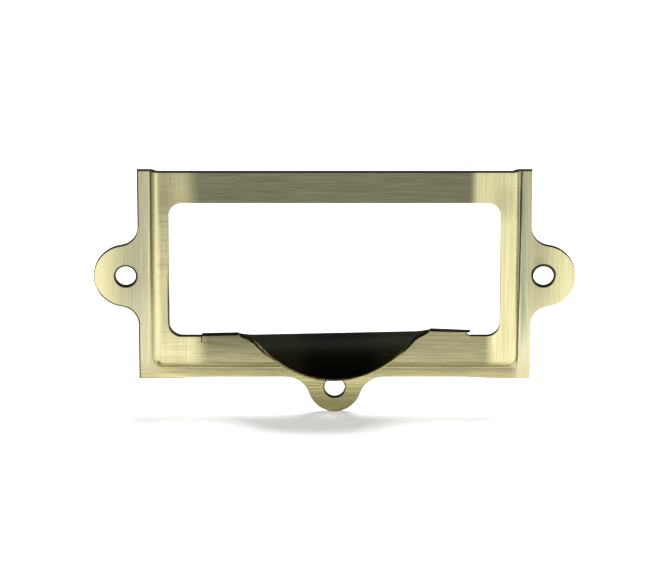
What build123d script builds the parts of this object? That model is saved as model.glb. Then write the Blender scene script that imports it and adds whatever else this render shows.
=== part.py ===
from build123d import *

import os
from math import atan, cos, degrees, radians, sin, sqrt, tan

# Label frame with a finger pull, blanked, raised and curled from one brass sheet.
# +Z is up, the front faces -Y, and the back of the flange lies on the plane Y = 0.
# The origin is midway between the two side screw holes. All sizes are millimetres.

# Sheet and its edges
sheet = 1.0  # thickness, the same all over
edge_break = 0.2  # soft cut edges left by blanking and polishing
deburr = 0.15  # small chamfer on the holes and on the shoulders' cut ends

# Flat flange with its ears
body_width = 77.7
body_top = 21.8  # top edge above the side screw line
body_bottom = 21.3  # lower corners below the side screw line
bottom_lift = 0.34  # the lower edge is drawn up between its corners
bottom_corner_flat = 5.0  # length of lower edge left straight at each corner
bottom_lift_run = 9.5  # length over which the lower edge rises
side_screw_out = 2.425  # side screw holes outside the body's edges
side_ear_radius = 6.35
side_ear_fillet = 3.8
lower_ear_out = 1.94  # centre of the lower ear below the drawn up edge
lower_ear_radius = 5.3
lower_ear_fillet = 5.0
lower_hole_drop = 0.25  # the lower hole was punched this far below its ear's centre
screw_hole = 4.0  # diameter of all three holes

# Raised panel, open at the top for the card
rise = 1.2  # how far the panel stands off the flange
slope_run = 0.8  # width of the sloped wall, measured along the flange
bend_radius = 0.25  # inside radius of each bend of the joggle
corner_ease = 0.15  # flat corner radius left inside the panel's rounded crown
side_flange = 2.55  # flat width left at each side
lower_flange = 2.55  # flat width left along the lower corners

# Window, set by the rails of raised panel left round it
side_rail = 3.65
top_rail = 6.44
lower_rail = 6.78
window_corner = 2.6

# Finger pull: a tab that folds forward above the lower rail and arches down
fold_below = 0.63  # fold line below the window's lower edge, at mid width
fold_tilt = 1.25  # degrees; the fold runs up slightly to the right
fold_radius = 0.35  # inside radius of the fold at the lobe
fold_angle = 95.0  # degrees the lobe turns at the fold
hood_radius = 12.0  # outside radius of the arch that follows the fold
lobe_radius = 17.75  # the lobe is a disc in the flat blank
lobe_centre = 3.2  # centre of that disc below the fold line, in the flat
root_length = 2.0  # length of the lobe's sides, past the fold, that sweeps into the shoulders
root_width = 3.0  # width over which each side sweeps
shoulder_rise = 0.4  # height at which the shoulders start to bend
shoulder_radius = 2.0  # inside radius of the shoulders, which bend less
shoulder_angle = 20.0  # degrees that the shoulders lean forward
right_end_angle = 8.0  # degrees at the right shoulder's end, which was cut lower
shoulder_brim = 0.3  # slight arch of the shoulders past their bend
left_gap = 6.4  # left shoulder's end inside the window's left side
right_gap = 5.75  # right shoulder's end inside the window's right side
slit = 0.2  # sheared slit beside the left shoulder, at the front of the sheet
slit_back = 0.02  # the same slit at the back of the sheet
notch_depth = 1.0  # depth of the V notch under the right shoulder's end
notch_height = 0.45  # apex of that notch above the fold line
notch_lip = 0.9  # mouth of that notch above the fold line

# Joggle, from the sizes above
crown_radius = bend_radius + sheet
plateau_corner = crown_radius + corner_ease
foot_corner = plateau_corner + slope_run
slope_taper = degrees(atan(slope_run / rise))
back_shift = sheet * tan(atan(rise / slope_run) / 2)  # keeps the wall one sheet thick
run_out = foot_corner + crown_radius + slope_run  # trimmed off above the top edge
raised_width = body_width - 2 * side_flange
raised_bottom = body_bottom - lower_flange
raised_height = body_top + run_out + raised_bottom
raised_middle = (body_top + run_out - raised_bottom) / 2
front_depth = rise + sheet

# Outline, from the sizes above
half_body = body_width / 2
side_screw = half_body + side_screw_out
blank_top = body_top + run_out + crown_radius
lift_start = half_body - bottom_corner_flat
lift_end = lift_start - bottom_lift_run
lifted = bottom_lift - body_bottom
side_holes = [(-side_screw, 0), (side_screw, 0)]
lower_ear = (0, lifted - lower_ear_out)
lower_hole = (0, lifted - lower_ear_out - lower_hole_drop)

# Window and shoulder ends, from the sizes above
window_width = raised_width - 2 * side_rail
window_top = body_top - top_rail
window_bottom = raised_bottom - lower_rail
left_end = window_width / 2 - left_gap
right_end = window_width / 2 - right_gap

# Pull, from the sizes above
slit_foot = 0.1  # the slits end this far below the fold line
stub = 2.0  # flat sheet below the fold line that the pull shares with the rail
fold_drop = window_bottom + fold_below
fold_outer = fold_radius + sheet
fold_length = fold_outer * radians(fold_angle)
lobe_reach = lobe_radius - lobe_centre  # fold line to tip, along the back of the sheet
hood_angle = degrees((lobe_reach - fold_length) / hood_radius)


def lobe_half_width(length):
    """Half width of the blank's disc at a length of sheet above the fold line."""
    return sqrt(max(lobe_radius**2 - (length + lobe_centre) ** 2, 0))


def hood_depth(length):
    """Distance of the hood's outer face from the plane Y = 0 at that length."""
    start = radians(fold_angle)
    turned = start + (length - fold_length) / hood_radius
    return rise + fold_outer * (1 - cos(start)) + hood_radius * (cos(start) - cos(turned))


def curl_section(place, bend_start, inside_radius, angle, hood_length, corner=deburr):
    """Section at X = place: stub, bend, some hood, and a cut end with small chamfers."""
    hood_turn = degrees(hood_length / hood_radius)
    with BuildSketch(Plane.YZ.offset(place)) as section:
        with BuildLine():
            front = Line((-front_depth, -stub), (-front_depth, bend_start))
            front_bend = JernArc(front @ 1, front % 1, inside_radius, angle)
            front_hood = JernArc(front_bend @ 1, front_bend % 1, hood_radius - sheet, hood_turn)
            back = Line((-rise, -stub), (-rise, bend_start))
            back_bend = JernArc(back @ 1, back % 1, inside_radius + sheet, angle)
            back_hood = JernArc(back_bend @ 1, back_bend % 1, hood_radius, hood_turn)
            cut_end = Line(front_hood @ 1, back_hood @ 1)
            Line(front @ 0, back @ 0)
        make_face()
        if corner:
            chamfer(section.vertices().sort_by_distance(cut_end @ 0.5)[:2], corner)
    return section.sketch


# Curled tab, in its own frame: the fold line is at Z = 0
root_top = fold_length + root_length
root_turn = degrees(root_length / hood_radius)
side_half = lobe_half_width(root_top)
shoulder_half = side_half + root_width

with BuildLine(Plane.YZ.offset(-lobe_radius)):
    fold_arc = JernArc((-rise, 0), (0, 1), fold_outer, fold_angle)
    root_arc = JernArc(fold_arc @ 1, fold_arc % 1, hood_radius, root_turn)
    hood_arc = JernArc(root_arc @ 1, root_arc % 1, hood_radius, hood_angle - root_turn)

outline_steps = 7
reach_steps = [sin(radians(90 * i / outline_steps)) for i in range(outline_steps)]
outline_lengths = [root_top + (lobe_reach - root_top) * step for step in reach_steps]
right_side = [(lobe_half_width(s), -hood_depth(s)) for s in outline_lengths]
left_side = [(-x, y) for x, y in reversed(right_side)]

with BuildPart() as hood_outline:
    with BuildSketch():
        with BuildLine():
            arch = Spline(right_side + [(0, -hood_depth(lobe_reach))] + left_side)
            Line(arch @ 1, arch @ 0)
        make_face()
    extrude(amount=lobe_radius, both=True)

with BuildPart() as pull:
    skin = Face.extrude(hood_arc.edge(), (2 * lobe_radius, 0, 0))
    thicken((skin & hood_outline.part).face(), amount=sheet)
    inner_rim, outer_rim = pull.edges().sort_by(SortBy.LENGTH)[-2:]
    fillet(outer_rim, edge_break)
    chamfer(inner_rim, deburr)
    middle = curl_section(-side_half, 0, fold_radius, fold_angle, root_length, corner=0)
    extrude(middle, amount=2 * side_half, dir=(1, 0, 0))
    for side, end, end_angle in ((-1, left_end, shoulder_angle), (1, right_end, right_end_angle)):
        shoulder = (shoulder_rise, shoulder_radius)
        inner = curl_section(side * side_half, 0, fold_radius, fold_angle, root_length)
        outer = curl_section(side * shoulder_half, *shoulder, shoulder_angle, shoulder_brim)
        last = curl_section(side * end, *shoulder, end_angle, shoulder_brim)
        loft([inner, outer])
        loft([outer, last])
    with BuildSketch(Plane.XZ):
        with BuildLine():
            Polyline(
                (right_end - notch_depth, notch_height),
                (right_end, -slit_foot),
                (right_end + notch_depth, -slit_foot),
                (right_end + notch_depth, notch_lip),
                (right_end, notch_lip),
                close=True,
            )
        make_face()
    extrude(amount=lobe_radius, mode=Mode.SUBTRACT)

# Opening that the tab leaves in the lower rail, in the tab's frame
slit_lean = slit - slit_back
with BuildPart() as slot:
    with BuildSketch(Plane.XY.offset(-slit_foot)):
        with BuildLine():
            Polyline(
                (-left_end - slit - slit_lean, -front_depth - sheet),
                (right_end, -front_depth - sheet),
                (right_end, sheet - rise),
                (-left_end - slit_back + slit_lean, sheet - rise),
                close=True,
            )
        make_face()
    extrude(amount=fold_drop)

fold_place = Location((0, 0, -fold_drop), (0, -fold_tilt, 0))

with BuildPart() as label_frame_pull:
    # Flat blank with its ears and screw holes, run out past the top edge
    with BuildSketch(Plane.XZ) as blank:
        with BuildLine():
            Polyline(
                (-lift_start, -body_bottom),
                (-half_body, -body_bottom),
                (-half_body, blank_top),
                (half_body, blank_top),
                (half_body, -body_bottom),
                (lift_start, -body_bottom),
            )
            Spline((lift_start, -body_bottom), (lift_end, lifted), tangents=((-1, 0), (-1, 0)))
            Line((lift_end, lifted), (-lift_end, lifted))
            Spline((-lift_end, lifted), (-lift_start, -body_bottom), tangents=((-1, 0), (-1, 0)))
        make_face()
        with Locations(*side_holes):
            Circle(side_ear_radius)
        with Locations(lower_ear):
            Circle(lower_ear_radius)
        side_joins = [v for v in blank.vertices() if abs(v.Y) < side_ear_radius]
        fillet(side_joins, side_ear_fillet)
        lower_joins = [v for v in blank.vertices() if abs(v.X) < lower_ear_radius and v.Y < 0]
        fillet(lower_joins, lower_ear_fillet)
        with Locations(*side_holes, lower_hole):
            Circle(screw_hole / 2, mode=Mode.SUBTRACT)
    extrude(amount=sheet)
    front_face = label_frame_pull.faces().filter_by(Axis.Y).sort_by(Axis.Y)[0]
    fillet(front_face.outer_wire().edges(), edge_break)
    front_face = label_frame_pull.faces().filter_by(Axis.Y).sort_by(Axis.Y)[0]
    chamfer(front_face.inner_wires().edges(), deburr)

    # Raised panel: the front bump, then the matching hollow behind it
    with BuildSketch(Plane.XZ.offset(sheet)):
        with Locations((0, raised_middle)):
            RectangleRounded(raised_width, raised_height, foot_corner)
    extrude(amount=rise, taper=slope_taper)
    plateau = label_frame_pull.faces().filter_by(Axis.Y).sort_by(Axis.Y)[0]
    fillet(plateau.edges(), crown_radius)
    fronts = label_frame_pull.faces().filter_by(Axis.Y).filter_by(lambda face: face.normal_at().Y < 0)
    foot = fronts.sort_by(Axis.Y)[-1].inner_wires().sort_by(SortBy.LENGTH)[-1]
    fillet(foot.edges(), bend_radius)
    with BuildSketch(Plane.XZ):
        with Locations((0, raised_middle)):
            RectangleRounded(
                raised_width - 2 * back_shift, raised_height - 2 * back_shift, foot_corner - back_shift
            )
    extrude(amount=rise, taper=slope_taper, mode=Mode.SUBTRACT)
    backs = label_frame_pull.faces().filter_by(Axis.Y).filter_by(lambda face: face.normal_at().Y > 0)
    mouth = backs.sort_by(Axis.Y)[-1].inner_wires().sort_by(SortBy.LENGTH)[-1]
    floor = backs.sort_by(Axis.Y)[0]
    fillet(floor.edges(), bend_radius)
    fillet(mouth.edges(), crown_radius)
    split(bisect_by=Plane.XY.offset(body_top), keep=Keep.BOTTOM)

    # Window through the panel
    with BuildSketch(Plane.XZ):
        with Locations((0, (window_top - window_bottom) / 2)):
            RectangleRounded(window_width, window_top + window_bottom, window_corner)
    extrude(amount=2 * front_depth, mode=Mode.SUBTRACT)
    panel = label_frame_pull.faces().filter_by(Axis.Y).sort_by(Axis.Y)[0]
    fillet(panel.inner_wires()[0].edges(), edge_break)

    # Finger pull in its opening
    with Locations(fold_place):
        add(slot.part, mode=Mode.SUBTRACT)
        add(pull.part)

label_frame_pull.part.label = "label_frame_pull"
os.makedirs("parts", exist_ok=True)
export_step(label_frame_pull.part, "parts/label_frame_pull.step")
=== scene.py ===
"""Studio scene for a stamped brass label frame with a curled finger pull."""

import logging
import math
from dataclasses import dataclass, field
from enum import Enum
from typing import Union

import bmesh
import bpy
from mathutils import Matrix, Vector


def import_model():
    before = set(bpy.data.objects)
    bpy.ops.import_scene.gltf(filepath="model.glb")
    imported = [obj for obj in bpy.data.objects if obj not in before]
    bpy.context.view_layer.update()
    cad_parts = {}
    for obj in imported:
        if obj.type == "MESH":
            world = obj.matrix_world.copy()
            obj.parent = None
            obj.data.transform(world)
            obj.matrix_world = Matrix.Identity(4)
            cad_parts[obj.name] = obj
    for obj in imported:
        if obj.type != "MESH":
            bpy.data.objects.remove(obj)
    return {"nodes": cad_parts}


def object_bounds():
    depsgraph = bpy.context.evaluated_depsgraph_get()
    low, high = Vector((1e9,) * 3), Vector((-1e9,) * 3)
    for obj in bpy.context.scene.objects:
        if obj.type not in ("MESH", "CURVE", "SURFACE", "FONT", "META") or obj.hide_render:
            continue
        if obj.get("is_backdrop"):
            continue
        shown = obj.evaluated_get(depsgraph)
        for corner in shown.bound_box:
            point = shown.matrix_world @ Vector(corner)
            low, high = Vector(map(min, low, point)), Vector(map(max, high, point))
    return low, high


LOG = logging.getLogger("label_frame_pull")
MM = 0.001
BLACK = (0.0, 0.0, 0.0)

Colour = tuple[float, float, float]
Place = tuple[float, float, float]
Scale = tuple[float, float, float]
Operand = Union["Wire", float]


class Channel(Enum):
    """Sockets of the Mix node that carry colours."""

    FIRST = 6
    SECOND = 7
    RESULT = 2


class Blend(Enum):
    """Ways to mix two colours."""

    COVER = "MIX"
    FILTER = "MULTIPLY"


class Ray(Enum):
    """Kinds of ray that the Light Path node tells apart."""

    CAMERA = "Is Camera Ray"
    GLOSSY = "Is Glossy Ray"
    THROUGH = "Is Transmission Ray"


class Grain(Enum):
    """Which way the brush ran, as the noise's cycles for each millimetre along X, Y and Z."""

    UPRIGHT = (7.0, 7.0, 0.11)
    LEVEL = (0.11, 5.0, 5.0)


@dataclass(frozen=True)
class Noise:
    """Cycles for each unit, octaves, and the share kept by each finer octave."""

    scale: float
    detail: float
    rough: float


class Wire:
    """An output socket that can be used in arithmetic."""

    def __init__(self, graph: "Graph", socket: bpy.types.NodeSocket | None) -> None:
        """Keep the graph that the socket belongs to.

        Args:
            graph: The node tree's builder.
            socket: The output socket, or None for a node without one.
        """
        self.graph = graph
        self.socket = socket

    def _math(self, operation: str, *values: Operand) -> "Wire":
        """Add a Math node.

        Args:
            operation: The Math node's operation.
            values: Its inputs in order.

        Returns:
            The node's result.
        """
        inputs = dict(enumerate(values))
        return self.graph.node("ShaderNodeMath", {"operation": operation}, inputs)

    def __add__(self, other: Operand) -> "Wire":
        """Sum of this and another value."""
        return self._math("ADD", self, other)

    def __radd__(self, other: Operand) -> "Wire":
        """Sum with this value on the right."""
        return self._math("ADD", other, self)

    def __sub__(self, other: Operand) -> "Wire":
        """Difference of this and another value."""
        return self._math("SUBTRACT", self, other)

    def __rsub__(self, other: Operand) -> "Wire":
        """Difference with this value on the right."""
        return self._math("SUBTRACT", other, self)

    def __mul__(self, other: Operand) -> "Wire":
        """Product of this and another value."""
        return self._math("MULTIPLY", self, other)

    def __rmul__(self, other: Operand) -> "Wire":
        """Product with this value on the right."""
        return self._math("MULTIPLY", other, self)

    def __truediv__(self, other: Operand) -> "Wire":
        """Quotient of this and another value."""
        return self._math("DIVIDE", self, other)

    def __rtruediv__(self, other: Operand) -> "Wire":
        """Quotient with this value on the right."""
        return self._math("DIVIDE", other, self)

    def __pow__(self, other: Operand) -> "Wire":
        """This value to a power."""
        return self._math("POWER", self, other)

    def __rpow__(self, other: Operand) -> "Wire":
        """Power with this value on the right."""
        return self._math("POWER", other, self)

    def __neg__(self) -> "Wire":
        """This value with its sign changed."""
        return self._math("MULTIPLY", self, -1.0)

    def __abs__(self) -> "Wire":
        """Size of this value without its sign."""
        return self._math("ABSOLUTE", self)

    def angle(self, across: Operand) -> "Wire":
        """Angle in radians whose sine side is this value and cosine side the other."""
        return self._math("ARCTAN2", self, across)

    def least(self, other: Operand) -> "Wire":
        """Smaller of this and another value."""
        return self._math("MINIMUM", self, other)

    def most(self, other: Operand) -> "Wire":
        """Larger of this and another value."""
        return self._math("MAXIMUM", self, other)

    def reach(self, other: "Wire") -> "Wire":
        """Distance over two sides of a square corner, this value and the other."""
        return (self * self + other * other) ** 0.5

    def ease(self, start: float, end: float, low: float, high: float) -> "Wire":
        """Smooth step from low to high as this value goes from start to end.

        Args:
            start: Value where the step begins.
            end: Value where it ends, which may be below start.
            low: Result before the step.
            high: Result after it.

        Returns:
            The eased value.
        """
        if start > end:
            start, end, low, high = end, start, high, low
        settings = {"interpolation_type": "SMOOTHSTEP"}
        ranges = {0: self, 1: start, 2: end, 3: low, 4: high}
        return self.graph.node("ShaderNodeMapRange", settings, ranges)


class Graph:
    """Node tree of one material or world, written as expressions."""

    def __init__(self, tree: bpy.types.NodeTree) -> None:
        """Start from an empty tree.

        Args:
            tree: The node tree to fill.
        """
        self.tree = tree
        tree.nodes.clear()

    def node(
        self,
        kind: str,
        settings: dict[str, object] | None = None,
        inputs: dict[str | int, object] | None = None,
        output: str | int = 0,
    ) -> Wire:
        """Add a node, set it up, and join its inputs.

        Args:
            kind: The node's type.
            settings: Its own properties, set first.
            inputs: Values or wires by socket name or number.
            output: The output to return.

        Returns:
            The chosen output, which is empty for a node without outputs.
        """
        node = self.tree.nodes.new(kind)
        for name, value in (settings or {}).items():
            setattr(node, name, value)
        for name, value in (inputs or {}).items():
            if isinstance(value, Wire):
                self.tree.links.new(value.socket, node.inputs[name])
            else:
                node.inputs[name].default_value = value
        return Wire(self, node.outputs[output] if node.outputs else None)

    def axes(self, vector: Wire) -> tuple[Wire, Wire, Wire]:
        """Split a vector.

        Args:
            vector: The vector to split.

        Returns:
            Its X, Y and Z parts.
        """
        first = self.node("ShaderNodeSeparateXYZ", inputs={0: vector})
        return tuple(Wire(self, socket) for socket in first.socket.node.outputs)

    def tint(
        self,
        factor: Operand,
        first: Wire | Colour,
        second: Wire | Colour,
        blend: Blend = Blend.COVER,
    ) -> Wire:
        """Mix two colours.

        Args:
            factor: Share of the second colour.
            first: Colour at factor 0.
            second: Colour at factor 1.
            blend: How the second colour goes on the first.

        Returns:
            The mixed colour.
        """
        ends = [c if isinstance(c, Wire) else (*c, 1.0) for c in (first, second)]
        settings = {"data_type": "RGBA", "blend_type": blend.value}
        inputs = {0: factor, Channel.FIRST.value: ends[0], Channel.SECOND.value: ends[1]}
        return self.node("ShaderNodeMix", settings, inputs, Channel.RESULT.value)

    def stretch(self, vector: Wire, scale: Scale) -> Wire:
        """Scale a vector along each axis."""
        return self.node("ShaderNodeVectorMath", {"operation": "MULTIPLY"}, {0: vector, 1: scale})

    def noise(self, vector: Wire, noise: Noise) -> Wire:
        """Smooth noise from 0 to 1.

        Args:
            vector: Where to read the noise.
            noise: Its size and roughness.

        Returns:
            The noise value.
        """
        inputs = {
            "Vector": vector,
            "Scale": noise.scale,
            "Detail": noise.detail,
            "Roughness": noise.rough,
        }
        return self.node("ShaderNodeTexNoise", {}, inputs)

    def finish(self, shader: Wire, kind: str = "ShaderNodeOutputMaterial") -> None:
        """Show a shader through the tree's output node.

        Args:
            shader: The shader to show.
            kind: Type of the output node.
        """
        self.node(kind, inputs={"Surface": shader})


@dataclass(frozen=True)
class Surface:
    """A point of the part, in millimetres, and the way the surface faces there."""

    graph: Graph
    spot: Wire
    x: Wire
    y: Wire
    z: Wire
    side: Wire
    facing_back: Wire
    facing_up: Wire

    @classmethod
    def read(cls, graph: Graph) -> "Surface":
        """Read the place and the facing in the part's own frame.

        Args:
            graph: The material's graph.

        Returns:
            The surface's wires.
        """
        place = graph.node("ShaderNodeTexCoord", output="Object")
        turned = graph.node("ShaderNodeTexCoord", output="Normal")
        spot = graph.stretch(place, (1.0 / MM, 1.0 / MM, 1.0 / MM))
        x, y, z = graph.axes(spot)
        _, facing_back, facing_up = graph.axes(turned)
        return cls(graph, spot, x, y, z, abs(x), facing_back, facing_up)


@dataclass(frozen=True)
class Fade:
    """Smooth change from low at the start to high at the end."""

    start: float
    end: float
    low: float = 0.0
    high: float = 1.0

    def of(self, measure: Wire) -> Wire:
        """Value of the fade at a measure."""
        return measure.ease(self.start, self.end, self.low, self.high)


@dataclass(frozen=True)
class Patch:
    """Soft-edged patch of the sheet: the product of its share and the fades that bound it."""

    x: tuple[Fade, ...] = ()
    side: tuple[Fade, ...] = ()
    z: tuple[Fade, ...] = ()
    share: float = 1.0

    def on(self, surface: Surface) -> Wire:
        """Strength of the patch all over the part.

        Args:
            surface: The part's surface.

        Returns:
            The strength, which is 0 outside the patch.
        """
        bounds = ((self.x, surface.x), (self.side, surface.side), (self.z, surface.z))
        fades = (fade.of(measure) for group, measure in bounds for fade in group)
        return math.prod(fades, start=self.share)


@dataclass(frozen=True)
class Stripe:
    """Upright stripe of the sheet, as a patch that also fades across a line."""

    line: float
    across: Fade
    patch: Patch

    def on(self, surface: Surface) -> Wire:
        """Strength of the stripe all over the part."""
        return self.across.of(abs(surface.x - self.line)) * self.patch.on(surface)


@dataclass(frozen=True)
class Blot:
    """Round place on the sheet, with a fade by distance from its centre."""

    x: float
    z: float
    fade: Fade
    squash: float = 1.0

    def on(self, surface: Surface) -> Wire:
        """Strength of the blot all over the part."""
        rise = (surface.z - self.z) * self.squash
        return self.fade.of((surface.x - self.x).reach(rise))


@dataclass(frozen=True)
class CurlFrame:
    """Where the curled pull bends, in millimetres, as in the part's source."""

    fold_drop: float = 12.6
    fold_tilt: float = math.radians(1.25)
    hood_axis_y: float = -1.622
    hood_axis_z: float = -10.609
    hood_radius: float = 12.0
    hood_start: float = math.radians(95.0)
    fold_length: float = 2.238
    lobe_centre: float = 3.2
    lobe_radius: float = 17.75
    front: Fade = Fade(-2.6, -2.7)

    def share(self, surface: Surface) -> Wire:
        """Share of the pull: everything that stands further out than the panel."""
        return self.front.of(surface.y)

    def past_edge(self, surface: Surface) -> Wire:
        """Place across the lobe's cut edge, as if the sheet were still flat.

        Args:
            surface: The part's surface.

        Returns:
            Millimetres past the lobe's radius, which are less than 0 on its faces.
        """
        above = surface.z + self.fold_drop
        level, tilt = math.cos(self.fold_tilt), math.sin(self.fold_tilt)
        across = surface.x * level + above * tilt
        height = above * level - surface.x * tilt
        turn = (height - self.hood_axis_z).angle(surface.y - self.hood_axis_y)
        length = (turn - self.hood_start) * self.hood_radius + self.fold_length
        return across.reach(length + self.lobe_centre) - self.lobe_radius


@dataclass(frozen=True)
class Polish:
    """Faces that the brush reached: the front, the shallow steps and the pull's inside."""

    faces_front: Fade = Fade(0.42, 0.78)
    faces_up: Fade = Fade(0.42, 0.28)
    side_steps: Patch = Patch(
        x=(Fade(-1.0, 1.0, 0.28, 0.38),),
        side=(Fade(35.0, 35.4), Fade(37.5, 37.2)),
    )
    lower_step: Patch = Patch(
        x=(Fade(5.0, 20.0, 0.35, 0.60),),
        side=(Fade(36.0, 35.0),),
        z=(Fade(-17.9, -18.2), Fade(-19.7, -19.4)),
    )
    left_rim: Patch = Patch(x=(Fade(-37.0, -37.6),))
    rim_turned: Fade = Fade(0.97, 0.90)
    rim_not_below: Fade = Fade(-0.97, -0.85)
    pull_inside: Fade = Fade(-0.30, -0.50)

    def on(self, surface: Surface, curl: Wire) -> Wire:
        """Share of bright metal.

        Args:
            surface: The part's surface.
            curl: Share of the pull.

        Returns:
            1 on brushed metal and 0 on oxide.
        """
        out, up = -surface.facing_back, surface.facing_up
        steps = self.side_steps.on(surface).most(self.lower_step.on(surface))
        rim = self.left_rim.on(surface) * self.rim_not_below.of(up) * self.rim_turned.of(out)
        front = self.faces_front.of(out + steps) * self.faces_up.of(up)
        front = front * (1.0 - curl) * (1.0 - rim)
        return front.most(curl * self.pull_inside.of(up))


@dataclass(frozen=True)
class Strokes:
    """Brush strokes: upright on the sides and ears, level above and below the window."""

    fine: Noise = Noise(1.0, 3.0, 0.6)
    broad: Noise = Noise(0.35, 2.0, 0.6)
    fine_share: float = 0.8
    contrast: Fade = Fade(0.30, 0.70)
    left_seam: float = 27.6
    left_seam_lean: float = 0.045
    left_blend: Fade = Fade(-2.2, 1.6)
    right_seam: Fade = Fade(-14.0, 12.0, 30.6, 27.4)
    right_blend: Fade = Fade(-1.0, 1.0)
    panel_foot: Fade = Fade(-19.02, -17.52)
    flange: Fade = Fade(34.8, 37.0)
    flange_foot: Fade = Fade(-21.0, -17.0)
    right_half: Fade = Fade(0.0, 1.0)
    crossed: Patch = Patch(x=(Fade(-22.0, -28.0), Fade(-36.0, -35.0)), z=(Fade(-7.0, -11.0),))
    crossed_turn: float = 0.3
    crossed_weight: float = 0.7
    middle_tone: float = 0.55
    # Streaks lightened toward the left ear's end.
    bright_ear_end: Patch = Patch(x=(Fade(-43.0, -46.5),), share=0.9)

    def upright(self, surface: Surface) -> Wire:
        """Share of upright strokes: the side rails, side flanges and ears.

        Args:
            surface: The part's surface.

        Returns:
            1 where the strokes run upright and 0 where they run level.
        """
        x, z = surface.x, surface.z
        left = self.left_blend.of(-x - self.left_seam - z * self.left_seam_lean)
        right = self.right_blend.of(x - self.right_seam.of(z))
        panel = left.most(right) * self.panel_foot.of(z)
        low = self.flange_foot.of(z).most(self.right_half.of(x))
        return panel.most(self.flange.of(surface.side) * low)

    def laid(self, surface: Surface, upright: Wire) -> tuple[Wire, Wire]:
        """Strokes of both ways, crossed a little at the lower left.

        Args:
            surface: The part's surface.
            upright: Share of upright strokes.

        Returns:
            Streaks for the colour and fine strokes for the bump.
        """
        crossed = self.crossed.on(surface)
        share = upright * (1.0 - crossed * self.crossed_turn)
        streaks_up, grain_up = self._one_way(surface, Grain.UPRIGHT)
        streaks_level, grain_level = self._one_way(surface, Grain.LEVEL)
        streaks = streaks_up * share + streaks_level * (1.0 - share)
        streaks = streaks + (streaks_level - self.middle_tone) * crossed * self.crossed_weight
        grain = grain_up * share + grain_level * (1.0 - share)
        return streaks.most(self.bright_ear_end.on(surface)), grain

    def _one_way(self, surface: Surface, grain: Grain) -> tuple[Wire, Wire]:
        """Strokes one way.

        Args:
            surface: The part's surface.
            grain: The brush's direction.

        Returns:
            Streaks for the colour and fine strokes for the bump.
        """
        graph = surface.graph
        along = graph.stretch(surface.spot, grain.value)
        fine = graph.noise(along, self.fine)
        broad = graph.noise(along, self.broad)
        mixed = fine * self.fine_share + broad * (1.0 - self.fine_share)
        return self.contrast.of(mixed), fine


@dataclass(frozen=True)
class Casts:
    """Tints that lie over parts of the brushed metal, with painted shade on the left step's slope
    and a painted highlight on its crown.
    """

    grey: Colour = (0.93, 0.955, 1.12)
    drift: Noise = Noise(0.06, 1.0, 0.5)
    drift_fade: Fade = Fade(0.3, 0.6, 0.5, 0.9)
    grey_flange: Patch = Patch(
        x=(Fade(10.0, -10.0, 0.5, 1.0),),
        side=(Fade(36.0, 36.3), Fade(45.0, 39.0)),
    )
    grey_side_steps: Patch = Patch(
        x=(Fade(39.0, 37.6), Fade(-36.6, -36.3)),
        side=(Fade(35.3, 35.6),),
    )
    grey_lower_step: Patch = Patch(
        x=(Fade(-36.6, -36.3),),
        z=(Fade(-17.9, -18.3), Fade(-19.8, -19.3)),
    )
    warm: Colour = (1.0, 0.965, 0.86)
    warm_foot: Patch = Patch(z=(Fade(-16.0, -20.0),))
    # Painted shade on the left step's slope.
    slope_shade: Colour = (0.44, 0.43, 0.44)
    left_slope_shade: Patch = Patch(
        x=(Fade(-35.1, -36.2), Fade(-36.5, -36.2)),
        z=(Fade(-19.0, -14.0), Fade(-14.0, 10.0, 0.36, 1.0)),
    )
    # Painted highlight along the left step's crown.
    crown_highlight: Colour = (1.0, 0.95, 0.56)
    left_crown_highlight: Stripe = Stripe(
        -35.05, Fade(0.55, 0.20), Patch(z=(Fade(-17.5, -13.0),), share=0.85)
    )
    cool: Colour = (0.86, 0.91, 0.99)
    cool_top: Patch = Patch(z=(Fade(0.0, 16.0),))

    def over(self, surface: Surface, metal: Wire, upright: Wire) -> Wire:
        """Tint the metal.

        Args:
            surface: The part's surface.
            metal: Colour of the brushed metal.
            upright: Share of upright strokes.

        Returns:
            The tinted colour.
        """
        graph = surface.graph
        drift = self.drift_fade.of(graph.noise(surface.spot, self.drift))
        steps = self.grey_side_steps.on(surface).most(self.grey_lower_step.on(surface))
        grey = (self.grey_flange.on(surface) * drift).most(steps)
        metal = graph.tint(grey, metal, self.grey, Blend.FILTER)
        metal = graph.tint(self.warm_foot.on(surface), metal, self.warm, Blend.FILTER)
        # Painted shade on the left step's slope.
        metal = graph.tint(self.left_slope_shade.on(surface), metal, self.slope_shade, Blend.FILTER)
        # Painted highlight along the left step's crown.
        metal = graph.tint(self.left_crown_highlight.on(surface), metal, self.crown_highlight)
        cool = (1.0 - upright) * self.cool_top.on(surface)
        return graph.tint(cool, metal, self.cool, Blend.FILTER)


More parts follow.
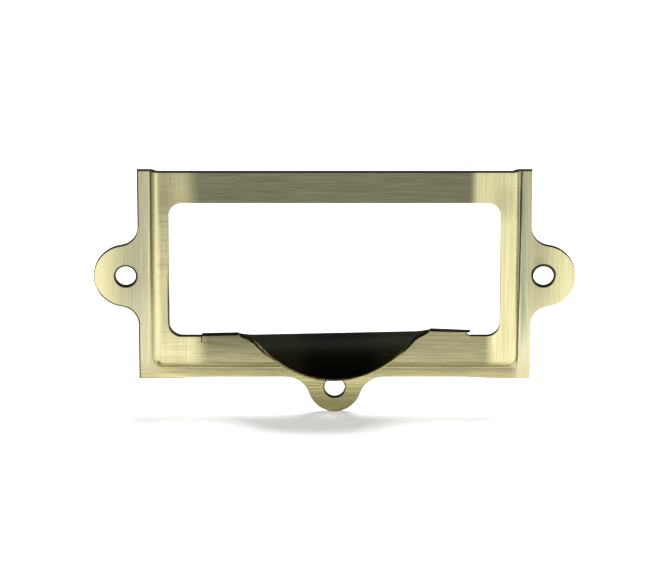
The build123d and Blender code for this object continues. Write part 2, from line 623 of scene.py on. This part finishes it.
@dataclass(frozen=True)
class PaintedShading:
    """Painted shade over the metal, the least near the ears' ends and the lower corners, with
    painted highlights.
    """

    # Painted shade on the level strokes, darker toward the top.
    panel: Patch = Patch(
        x=(Fade(-30.0, 25.0, 0.99, 0.94),),
        z=(Fade(-12.0, 16.0, 0.62, 0.33),),
    )
    # Painted shade under the pull's fold.
    shoulders: Patch = Patch(
        x=(Fade(5.0, -5.0, 0.20, 0.50),),
        z=(Fade(-18.0, -12.8), Fade(-8.0, -11.0)),
    )
    above_step: Fade = Fade(-18.9, -18.6)
    # Painted light and shade on the lower flange: darker up by the step, lighter toward the left
    # end.
    lower_flange: Patch = Patch(
        x=(
            Fade(-5.0, 20.0, 1.0, 0.95),
            Fade(-24.0, -34.0, 1.0, 1.22),
            Fade(-31.0, -36.0, 1.0, 1.35),
        ),
        z=(Fade(-21.5, -19.0, 0.98, 0.52),),
    )
    lower_slope: float = -18.5
    # Painted shine along the lower step's slope.
    slope_shine: Fade = Fade(0.8, 0.25, 1.0, 1.45)
    # Painted shade on the side flanges, fading toward the ears' ends.
    side_flanges: Patch = Patch(
        x=(Fade(-10.0, 10.0, 0.34, 0.38),),
        side=(Fade(36.3, 37.1), Fade(36.5, 39.5, 0.74, 1.0), Fade(46.0, 40.5)),
        z=(Fade(-16.0, 1.0),),
    )
    # Painted shade beside the right ear's hole.
    right_ear_shade: Blot = Blot(40.2, 3.1, Fade(3.4, 0.3, 0.0, 0.48))
    # Painted shade just right of the right step.
    right_of_step: Patch = Patch(
        x=(Fade(36.6, 37.0), Fade(39.0, 37.2)), z=(Fade(-17.0, -6.0),), share=0.44
    )
    # Painted shade on the upper side rails, stronger on the left.
    upper_rails: Patch = Patch(
        x=(Fade(-5.0, -30.0, 0.08, 0.32),),
        side=(Fade(37.5, 35.5),),
        z=(Fade(2.0, 18.0),),
    )
    # Painted shade on the left rail, inside the step's crown.
    left_rail: Stripe = Stripe(
        -34.9,
        Fade(0.25, 0.8),
        Patch(
            x=(Fade(-31.0, -33.0, 0.0, 0.20),),
            side=(Fade(35.6, 35.3),),
            z=(Fade(-14.5, -9.5),),
        ),
    )
    # Darker streaky bands on the left rail.
    band_stretch: Scale = (0.10, 0.10, 0.9)
    band_noise: Noise = Noise(1.0, 3.0, 0.7)
    band_contrast: Fade = Fade(0.42, 0.68)
    left_rail_bands: Patch = Patch(
        x=(Fade(-26.0, -31.0),),
        side=(Fade(35.6, 35.0),),
        z=(Fade(-6.0, 3.0), Fade(19.0, 13.0, 0.35, 1.0)),
        share=0.24,
    )
    # Painted shade in a soft cloud on the upper right rail.
    right_cloud: Blot = Blot(33.6, 15.6, Fade(4.0, 0.5, 0.0, 0.17), 0.7)
    # Painted highlight along the left step's crown, lifting the painted shade there.
    left_crown_highlight: Stripe = Stripe(
        -35.05, Fade(0.45, 0.15), Patch(z=(Fade(-17.5, -13.0),), share=0.97)
    )

    def on(self, surface: Surface, upright: Wire) -> Wire:
        """Painted light and shade on the metal.

        Args:
            surface: The part's surface.
            upright: Share of upright strokes.

        Returns:
            1 where the painted light is strongest and less in the painted shade.
        """
        # Painted light and shade: the shares of both stroke ways, dimmed by painted shade and
        # lifted by the painted crown highlight.
        lit_share = upright * self._rails(surface) + (1.0 - upright) * self._level(surface)
        shade_share = self.side_flanges.on(surface).most(self.right_ear_shade.on(surface))
        shade_share = shade_share.most(self.right_of_step.on(surface))
        return (lit_share * (1.0 - shade_share)).most(self.left_crown_highlight.on(surface))

    def _level(self, surface: Surface) -> Wire:
        """Painted light and shade on the level strokes of the panel and the lower flange.

        Args:
            surface: The part's surface.

        Returns:
            1 where the painted light is strongest and less in the painted shade, with a painted
            shine at the lower step.
        """
        above = self.above_step.of(surface.z)
        panel = above * self.panel.on(surface) * (1.0 - self.shoulders.on(surface))
        flange = (1.0 - above) * self.lower_flange.on(surface)
        return (panel + flange) * self.slope_shine.of(abs(surface.z - self.lower_slope))

    def _rails(self, surface: Surface) -> Wire:
        """Painted light and shade on the upright strokes of the side rails.

        Args:
            surface: The part's surface.

        Returns:
            1 where the painted light is strongest and less in the painted shade of the upper
            rails, the left rail and its darker bands.
        """
        graph = surface.graph
        # Darker bands on the left rail and a cloud of painted shade on the right rail.
        stretched = graph.stretch(surface.spot, self.band_stretch)
        left_rail_bands = self.band_contrast.of(graph.noise(stretched, self.band_noise))
        left_rail_bands = (left_rail_bands * self.left_rail_bands.on(surface)).most(self.right_cloud.on(surface))
        lit_share = (1.0 - self.upper_rails.on(surface)) * (1.0 - self.left_rail.on(surface))
        return lit_share * (1.0 - left_rail_bands)


@dataclass(frozen=True)
class BendLines:
    """Painted shade, with some oxide in the grooves, as dark lines in the bends of the raised
    panel, along the window's side and on top.
    """

    side_step: float = 36.30
    wander: Noise = Noise(0.35, 3.0, 0.6)
    wander_stretch: Scale = (0.0, 0.0, 1.0)
    wander_middle: float = 0.5
    wander_width: float = 0.30
    right_half: Fade = Fade(0.0, 20.0)
    right_foot: float = -17.0
    right_lean: float = 0.019
    right_shift: float = 0.10
    right_bow: Fade = Fade(0.0, 18.0, 0.0, 0.18)
    left_lean: float = 0.008
    left_shift: float = 0.04
    width: Fade = Fade(0.0, 20.0, 0.20, 0.29)
    swelling: Patch = Patch(
        x=(Fade(0.0, 20.0),), z=(Fade(8.0, 14.0, 0.0, 0.14), Fade(19.5, 16.0))
    )
    core: Fade = Fade(1.0, 0.2)
    left_strength: Fade = Fade(-10.0, 4.0, 0.25, 0.90)
    sides: Patch = Patch(z=(Fade(-19.0, -17.0),), share=0.95)
    flank_start: Fade = Fade(-0.75, -0.05)
    flank_end: Fade = Fade(0.30, 0.05)
    flank: Patch = Patch(x=(Fade(0.0, 20.0),), z=(Fade(-15.0, -4.0),), share=0.62)
    lower_step: float = -18.72
    lower_width: Fade = Fade(0.22, 0.05)
    lower: Patch = Patch(x=(Fade(0.0, 12.0, 0.10, 0.0),), side=(Fade(36.0, 34.5),))
    window: Stripe = Stripe(
        -32.75, Fade(0.34, 0.20), Patch(z=(Fade(6.0, -6.0), Fade(-10.2, -9.2)))
    )
    dent_x: float = -34.8
    dent_z: float = -17.65
    dent_length: float = 0.5
    dent: Fade = Fade(0.55, 0.15, 0.0, 0.85)
    top: Patch = Patch(z=(Fade(21.52, 21.66),), share=0.93)

    def on(self, surface: Surface) -> Wire:
        """Strength of the lines.

        Args:
            surface: The part's surface.

        Returns:
            0 on open metal, nearer 1 in the lines.
        """
        lower = self.lower_width.of(abs(surface.z - self.lower_step)) * self.lower.on(surface)
        right, down = surface.x - self.dent_x, surface.z - self.dent_z
        dent = self.dent.of((right + down).reach((right - down) * self.dent_length))
        lines = self._side_steps(surface).most(lower).most(self.window.on(surface))
        return lines.most(dent).most(self.top.on(surface))

    def _side_steps(self, surface: Surface) -> Wire:
        """Lines of the two side steps, which wander, lean and fade.

        Args:
            surface: The part's surface.

        Returns:
            0 on open metal, nearer 1 in the lines.
        """
        graph, z = surface.graph, surface.z
        noise = graph.noise(graph.stretch(surface.spot, self.wander_stretch), self.wander)
        wander = (noise - self.wander_middle) * self.wander_width
        right = self.right_half.of(surface.x)
        lean = (z - self.right_foot) * self.right_lean - self.right_shift - self.right_bow.of(z)
        left = (1.0 - right) * (z * self.left_lean - self.left_shift)
        past = surface.side - self.side_step - wander - right * lean + left
        width = self.width.of(surface.x) + self.swelling.on(surface)
        strength = (self.left_strength.of(z) + right).least(1.0)
        line = self.core.of(abs(past) / width) * strength * self.sides.on(surface)
        flank = self.flank_start.of(past) * self.flank_end.of(past) * self.flank.on(surface)
        return line.most(flank)


@dataclass(frozen=True)
class EdgeLines:
    """Painted shade as dark lines round the screw holes, along the left edges and in the window's
    corner.
    """

    side_hole: float = 41.275
    right_hole_top: Patch = Patch(x=(Fade(0.0, 1.0),), z=(Fade(-0.8, 1.4),), share=0.22)
    side_ring: Fade = Fade(2.5, 2.25, 0.0, 0.95)
    lower_ring: Blot = Blot(0.0, -23.15, Fade(2.4, 2.15, 0.0, 0.75))
    left_ear: Blot = Blot(-41.275, 0.0, Fade(5.95, 6.12))
    left_ear_end: Patch = Patch(x=(Fade(-41.9, -42.2),), z=(Fade(-2.0, -4.0),))
    ear_hollow: Blot = Blot(-42.65, -10.056, Fade(4.20, 4.03))
    ear_hollow_end: Patch = Patch(x=(Fade(-42.4, -42.1),), z=(Fade(-10.2, -10.0),))
    left_flange: Patch = Patch(x=(Fade(-38.50, -38.64),))
    beyond_ear: Fade = Fade(10.0, 10.3)
    window_corner: Blot = Blot(-30.15, -9.37, Fade(2.95, 2.80))
    window_corner_end: Patch = Patch(x=(Fade(-29.9, -30.6),), z=(Fade(-9.2, -10.4),))
    window_sill: Patch = Patch(
        x=(Fade(-30.6, -30.0), Fade(-26.1, -26.3)),
        z=(Fade(-12.24, -12.12), Fade(-11.7, -11.9)),
    )
    edge_share: float = 0.9

    def on(self, surface: Surface) -> Wire:
        """Strength of the lines.

        Args:
            surface: The part's surface.

        Returns:
            0 on open metal, nearer 1 in the lines.
        """
        from_hole = (surface.side - self.side_hole).reach(surface.z)
        side_ring = self.side_ring.of(from_hole - self.right_hole_top.on(surface))
        rings = side_ring.most(self.lower_ring.on(surface))
        ear = self.left_ear.on(surface) * self.left_ear_end.on(surface)
        hollow = self.ear_hollow.on(surface) * self.ear_hollow_end.on(surface)
        flange = self.left_flange.on(surface) * self.beyond_ear.of(abs(surface.z))
        corner = self.window_corner.on(surface) * self.window_corner_end.on(surface)
        window = corner.most(self.window_sill.on(surface))
        return rings.most(ear.most(hollow).most(flange).most(window) * self.edge_share)


@dataclass(frozen=True)
class RubbedRim:
    """Brass that shows where hands rubbed the oxide off the lobe's rounded edge."""

    edge: Fade = Fade(-0.32, -0.14)
    outer_face: Fade = Fade(-0.1, 0.2)
    below_crest: Fade = Fade(-11.8, -12.6)
    wear: Noise = Noise(0.9, 3.0, 0.7)
    wear_contrast: Fade = Fade(0.35, 0.65, 0.35, 1.0)
    more_on_left: Fade = Fade(6.0, -6.0, 0.12, 0.8)

    def on(self, surface: Surface, curl: CurlFrame) -> Wire:
        """Share of rubbed metal.

        Args:
            surface: The part's surface.
            curl: Where the pull bends.

        Returns:
            0 on oxide, nearer 1 along the left and lower edge.
        """
        outer = curl.share(surface) * self.outer_face.of(surface.facing_up)
        edge = self.edge.of(curl.past_edge(surface)) * self.below_crest.of(surface.z)
        wear = self.wear_contrast.of(surface.graph.noise(surface.spot, self.wear))
        return edge * outer * wear * self.more_on_left.of(surface.x)


@dataclass(frozen=True)
class Oxide:
    """Dark oxide: black on the walls, brown on the back, with a painted olive sheen toward the
    pull's flanks.
    """

    black: Colour = (0.0006, 0.0006, 0.0003)
    brown: Colour = (0.045, 0.036, 0.022)
    olive: Colour = (0.050, 0.050, 0.020)
    back: Fade = Fade(0.2, 0.6)
    brown_mottle: Fade = Fade(0.2, 0.8, 0.25, 1.0)
    # Painted olive sheen toward the pull's left and right flanks.
    olive_sheen_left: Fade = Fade(-3.0, -9.0, 0.0, 0.15)
    olive_sheen_right: Fade = Fade(5.0, 11.0, 0.0, 0.13)
    olive_mottle: Fade = Fade(0.2, 0.7, 0.6, 1.0)

    def colour(self, surface: Surface, curl: Wire, mottle: Wire) -> Wire:
        """Colour of the oxide.

        Args:
            surface: The part's surface.
            curl: Share of the pull.
            mottle: Cloudy noise.

        Returns:
            The colour.
        """
        graph = surface.graph
        brown = self.back.of(surface.facing_back) * self.brown_mottle.of(mottle)
        # Painted olive sheen toward the pull's flanks.
        olive_sheen = self.olive_sheen_left.of(surface.x).most(self.olive_sheen_right.of(surface.x))
        dark = graph.tint(brown, self.black, self.brown)
        return graph.tint(curl * olive_sheen * self.olive_mottle.of(mottle), dark, self.olive)


@dataclass(frozen=True)
class AntiqueBrass:
    """Brass with a dark oxide, brushed back to bright metal on its front."""

    bright: Colour = (0.99, 0.93, 0.53)
    shade: Colour = (0.71, 0.66, 0.355)
    rubbed: Colour = (0.50, 0.42, 0.16)
    # Painted shade for the dark lines: brown in the bends, black on the right, the top and the
    # edges.
    bend_shade: Colour = (0.10, 0.085, 0.045)
    line_shade: Colour = (0.02, 0.017, 0.010)
    right_line_shade: Patch = Patch(x=(Fade(0.0, 20.0),), z=(Fade(-12.0, 8.0, 0.35, 1.0),))
    top_line_shade: Patch = Patch(z=(Fade(20.5, 21.5),))
    level_depth: float = 0.16
    mottle: Noise = Noise(0.45, 4.0, 0.6)
    roughness: float = 0.27
    oxide_roughness: float = 0.30
    oxide_gloss: float = 0.013
    gloss_tint: Colour = (1.0, 1.0, 0.52)
    grain_depth: float = 0.05
    oxide_relief: float = 0.5
    curl: CurlFrame = CurlFrame()
    polish: Polish = Polish()
    strokes: Strokes = Strokes()
    casts: Casts = Casts()
    # Painted light and shade over the brushed metal.
    painted_shading: PaintedShading = PaintedShading()
    bends: BendLines = BendLines()
    edges: EdgeLines = EdgeLines()
    rim: RubbedRim = RubbedRim()
    oxide: Oxide = Oxide()

    def build(self) -> bpy.types.Material:
        """Make the material.

        Returns:
            The material, ready for the frame's slot.
        """
        material = bpy.data.materials.new("brushed_antique_brass")
        material.use_nodes = True
        graph = Graph(material.node_tree)
        surface = Surface.read(graph)
        curl = self.curl.share(surface)
        polished = self.polish.on(surface, curl)
        rim = self.rim.on(surface, self.curl)
        upright = self.strokes.upright(surface)
        streaks, grain = self.strokes.laid(surface, upright)
        mottle = graph.noise(surface.spot, self.mottle)

        dark = self.oxide.colour(surface, curl, mottle)
        brass = self._brass(surface, streaks, upright)
        colour = graph.tint(rim, graph.tint(polished, dark, brass), self.rubbed)
        relief = grain * polished + mottle * (1.0 - polished) * self.oxide_relief
        bump = graph.node(
            "ShaderNodeBump",
            {},
            {"Strength": 1.0, "Distance": self.grain_depth * MM, "Height": relief},
        )
        shader = graph.node(
            "ShaderNodeBsdfPrincipled",
            {},
            {
                "Base Color": colour,
                "Metallic": polished.most(rim),
                "Roughness": polished.ease(0.0, 1.0, self.oxide_roughness, self.roughness),
                "Specular IOR Level": self.oxide_gloss,
                "Specular Tint": (*self.gloss_tint, 1.0),
                "Normal": bump,
            },
        )
        graph.finish(shader)
        return material

    def _brass(self, surface: Surface, streaks: Wire, upright: Wire) -> Wire:
        """Colour of the brushed metal, with its casts, painted light and shade, and dark lines of
        painted shade.

        Args:
            surface: The part's surface.
            streaks: Tone of the brush strokes.
            upright: Share of upright strokes.

        Returns:
            The colour.
        """
        graph = surface.graph
        metal = graph.tint(streaks, self.shade, self.bright)
        metal = self.casts.over(surface, metal, upright)
        # Painted light and shade over the metal.
        metal = graph.tint(self.painted_shading.on(surface, upright), BLACK, metal)
        deep = (1.0 - streaks) * (1.0 - upright) * self.level_depth
        metal = graph.tint(deep, metal, BLACK)
        # Painted shade: dark lines in the bends and along the edges.
        darker = self.right_line_shade.on(surface).most(self.top_line_shade.on(surface))
        painted_shading = graph.tint(darker, self.bend_shade, self.line_shade)
        metal = graph.tint(self.bends.on(surface), metal, painted_shading)
        return graph.tint(self.edges.on(surface), metal, self.line_shade)


@dataclass(frozen=True)
class StudioWhite:
    """Pale matt surface that the camera sees as white, with the shadows kept."""

    albedo: Colour = (0.82, 0.82, 0.82)
    lift: float = 0.45

    def build(self) -> bpy.types.Material:
        """Make the floor's material.

        Returns:
            The material.
        """
        material = bpy.data.materials.new("studio_white")
        material.use_nodes = True
        graph = Graph(material.node_tree)
        matt = graph.node("ShaderNodeBsdfDiffuse", {}, {"Color": (*self.albedo, 1.0)})
        seen = graph.node("ShaderNodeLightPath", output=Ray.CAMERA.value)
        glow = graph.node("ShaderNodeEmission", {}, {"Strength": seen * self.lift})
        graph.finish(graph.node("ShaderNodeAddShader", {}, {0: matt, 1: glow}))
        return material


@dataclass
class Studio:
    """Floor, lamps and surroundings."""

    floor_size: float = 6.0
    floor_drop: float = 0.0001
    lamp_place: Place = (0.14, 0.18, 0.50)
    lamp_aim_y: float = -0.04
    lamp_size: float = 0.42
    lamp_power: float = 4.9
    world_diffuse: float = 0.35

    def build(self, lowest: float) -> None:
        """Make the floor, the lamps and the world.

        Args:
            lowest: Height of the frame's lowest point, in metres.
        """
        self._floor(lowest - self.floor_drop)
        self._lamp("overhead", (0.0, self.lamp_aim_y, lowest))
        self._world()

    def _floor(self, height: float) -> None:
        """Lay a square floor.

        Args:
            height: The floor's height, in metres.
        """
        mesh = bpy.data.meshes.new("floor")
        shape = bmesh.new()
        bmesh.ops.create_grid(shape, x_segments=1, y_segments=1, size=self.floor_size / 2)
        bmesh.ops.translate(shape, verts=shape.verts, vec=(0.0, 0.0, height))
        shape.to_mesh(mesh)
        shape.free()
        mesh.materials.append(StudioWhite().build())
        floor = bpy.data.objects.new("floor", mesh)
        bpy.context.scene.collection.objects.link(floor)
        floor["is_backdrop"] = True

    def _lamp(self, name: str, aim: Place) -> None:
        """Hang the square soft lamp.

        Args:
            name: The lamp's name.
            aim: The point that it faces, in metres.
        """
        data = bpy.data.lights.new(name, "AREA")
        data.shape = "SQUARE"
        data.size = self.lamp_size
        data.energy = self.lamp_power
        lamp = bpy.data.objects.new(name, data)
        lamp.location = self.lamp_place
        lamp.rotation_mode = "QUATERNION"
        ray = Vector(aim) - Vector(self.lamp_place)
        lamp.rotation_quaternion = ray.to_track_quat("-Z", "Y")
        bpy.context.scene.collection.objects.link(lamp)

    def _world(self) -> None:
        """Surround the frame with white, which only dimly lights matt surfaces."""
        world = bpy.data.worlds.new("studio")
        world.use_nodes = True
        graph = Graph(world.node_tree)
        camera, glossy, through = (
            graph.node("ShaderNodeLightPath", output=ray.value) for ray in Ray
        )
        seen = camera.most(glossy).most(through)
        strength = seen + (1.0 - seen) * self.world_diffuse
        sky = graph.node("ShaderNodeBackground", {}, {"Strength": strength})
        graph.finish(sky, "ShaderNodeOutputWorld")
        bpy.context.scene.world = world


@dataclass
class Viewpoint:
    """Camera at the photograph's angle, in degrees, metres and millimetres of lens."""

    elevation: float = 17.5
    distance: float = 0.90
    lens: float = 246.0
    sensor: float = 36.0
    nearest: float = 0.05
    furthest: float = 20.0
    aim: Place = (-0.00042, 0.0, -0.00385)

    def build(self) -> None:
        """Make the camera and look at the frame."""
        data = bpy.data.cameras.new("camera")
        data.sensor_width = self.sensor
        data.lens = self.lens
        data.clip_start = self.nearest
        data.clip_end = self.furthest
        camera = bpy.data.objects.new("camera", data)
        tilt = math.radians(self.elevation)
        back = Vector((0.0, -math.cos(tilt), math.sin(tilt)))
        camera.location = Vector(self.aim) + back * self.distance
        camera.rotation_mode = "QUATERNION"
        camera.rotation_quaternion = (-back).to_track_quat("-Z", "Y")
        bpy.context.scene.collection.objects.link(camera)
        bpy.context.scene.camera = camera


@dataclass
class LabelFrame:
    """The stamped frame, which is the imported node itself."""

    node: str = "label_frame_pull"
    finish: AntiqueBrass = field(default_factory=AntiqueBrass)

    def dress(self, nodes: dict[str, bpy.types.Object]) -> bpy.types.Object:
        """Give the node its finish.

        Args:
            nodes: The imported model's nodes by name.

        Returns:
            The dressed node.
        """
        piece = nodes[self.node]
        material = self.finish.build()
        for slot in piece.material_slots:
            slot.material = material
        return piece


def main() -> None:
    """Build the scene and report each piece."""
    logging.basicConfig(level=logging.INFO, format="%(name)s: %(message)s")
    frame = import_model()
    solid_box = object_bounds()
    scene = bpy.context.scene
    scene.view_settings.view_transform = "Standard"
    piece = LabelFrame().dress(frame["nodes"])
    LOG.info("%s dressed", piece.name)
    Studio().build(solid_box[0].z)
    LOG.info("studio ready")
    Viewpoint().build()
    LOG.info("camera ready")


if __name__ == "__main__":
    main()
